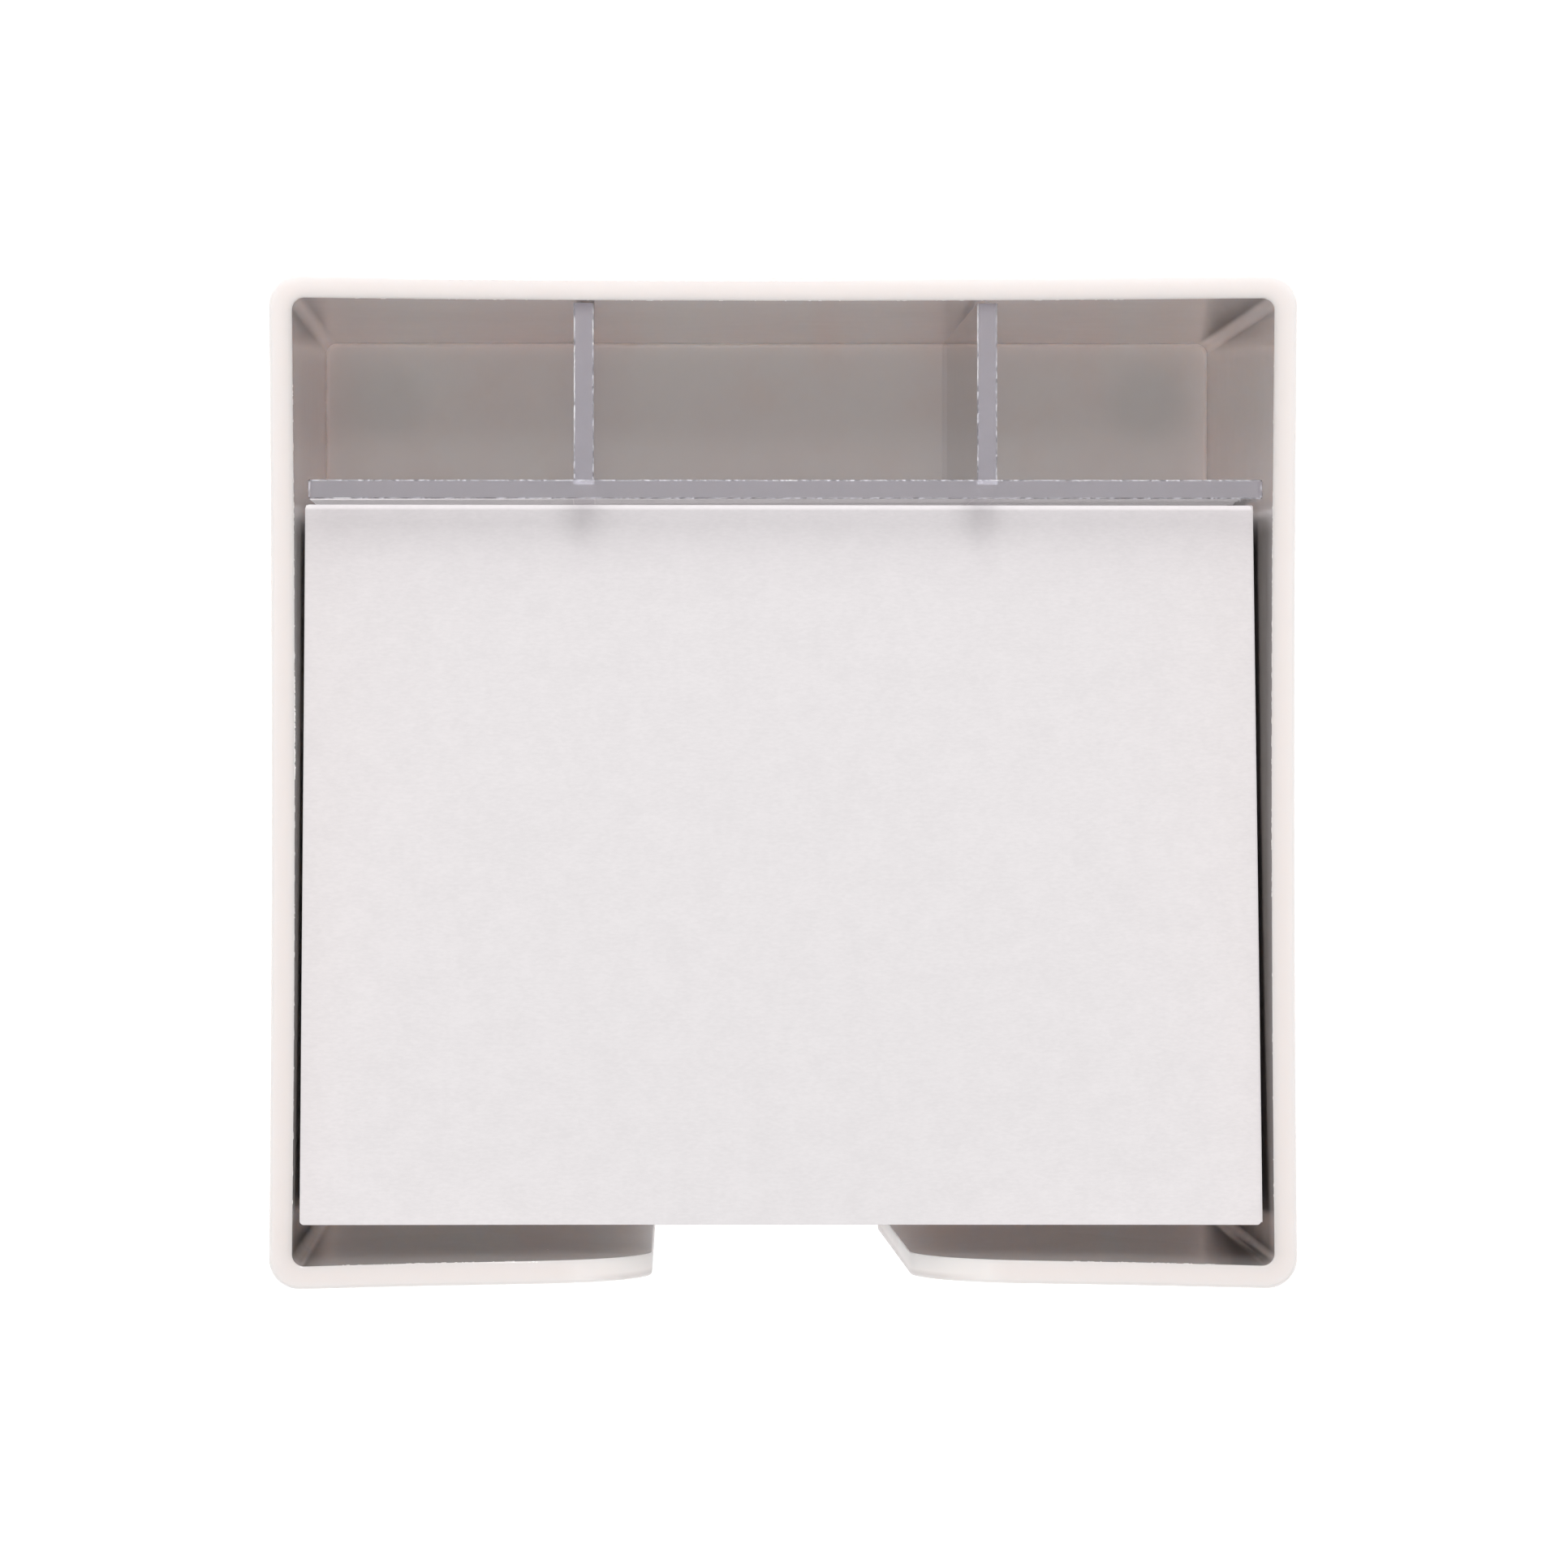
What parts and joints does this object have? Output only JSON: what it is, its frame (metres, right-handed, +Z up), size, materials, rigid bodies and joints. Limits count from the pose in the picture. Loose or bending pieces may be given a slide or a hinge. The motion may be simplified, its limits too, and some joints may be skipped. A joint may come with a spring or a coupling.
{
  "type": "memo box",
  "caption": "Open square desk box for loose note sheets, with a finger notch in the front wall and a clear drop-in divider that parts off pen wells along the back.",
  "frame": {"origin": "on the desk plane, under the middle of the box", "axes": "+Z up, -Y towards the front wall with the finger notch, +X to the right as seen from the front"},
  "size_m": [0.1074, 0.1058, 0.08],
  "materials": {
    "shell_plastic": "satin white moulded plastic",
    "clear_plastic": "clear moulded plastic",
    "note_paper": "plain white writing paper",
    "foot_rubber": "pale milky rubber"
  },
  "bodies": {
    "box": {"shell": "shell_plastic", "foot_front_left": "foot_rubber", "foot_front_right": "foot_rubber", "foot_back_left": "foot_rubber", "foot_back_right": "foot_rubber"},
    "divider_insert": {"cross_divider": "clear_plastic", "left_partition": "clear_plastic", "right_partition": "clear_plastic"},
    "memo_pile": {"memo_stack": "note_paper"},
    "loose_sheet": {"top_sheet": "note_paper"}
  },
  "joints": [
    {"name": "insert_lift", "type": "slide", "parent": "box", "child": "divider_insert", "axis": [0, 0, 1], "range_m": [0, 0.085]},
    {"name": "pile_lift", "type": "slide", "parent": "box", "child": "memo_pile", "axis": [0, 0, 1], "range_m": [0, 0.085]},
    {"name": "sheet_lift", "type": "slide", "parent": "memo_pile", "child": "loose_sheet", "axis": [0, 0, 1], "range_m": [0, 0.05]}
  ]
}
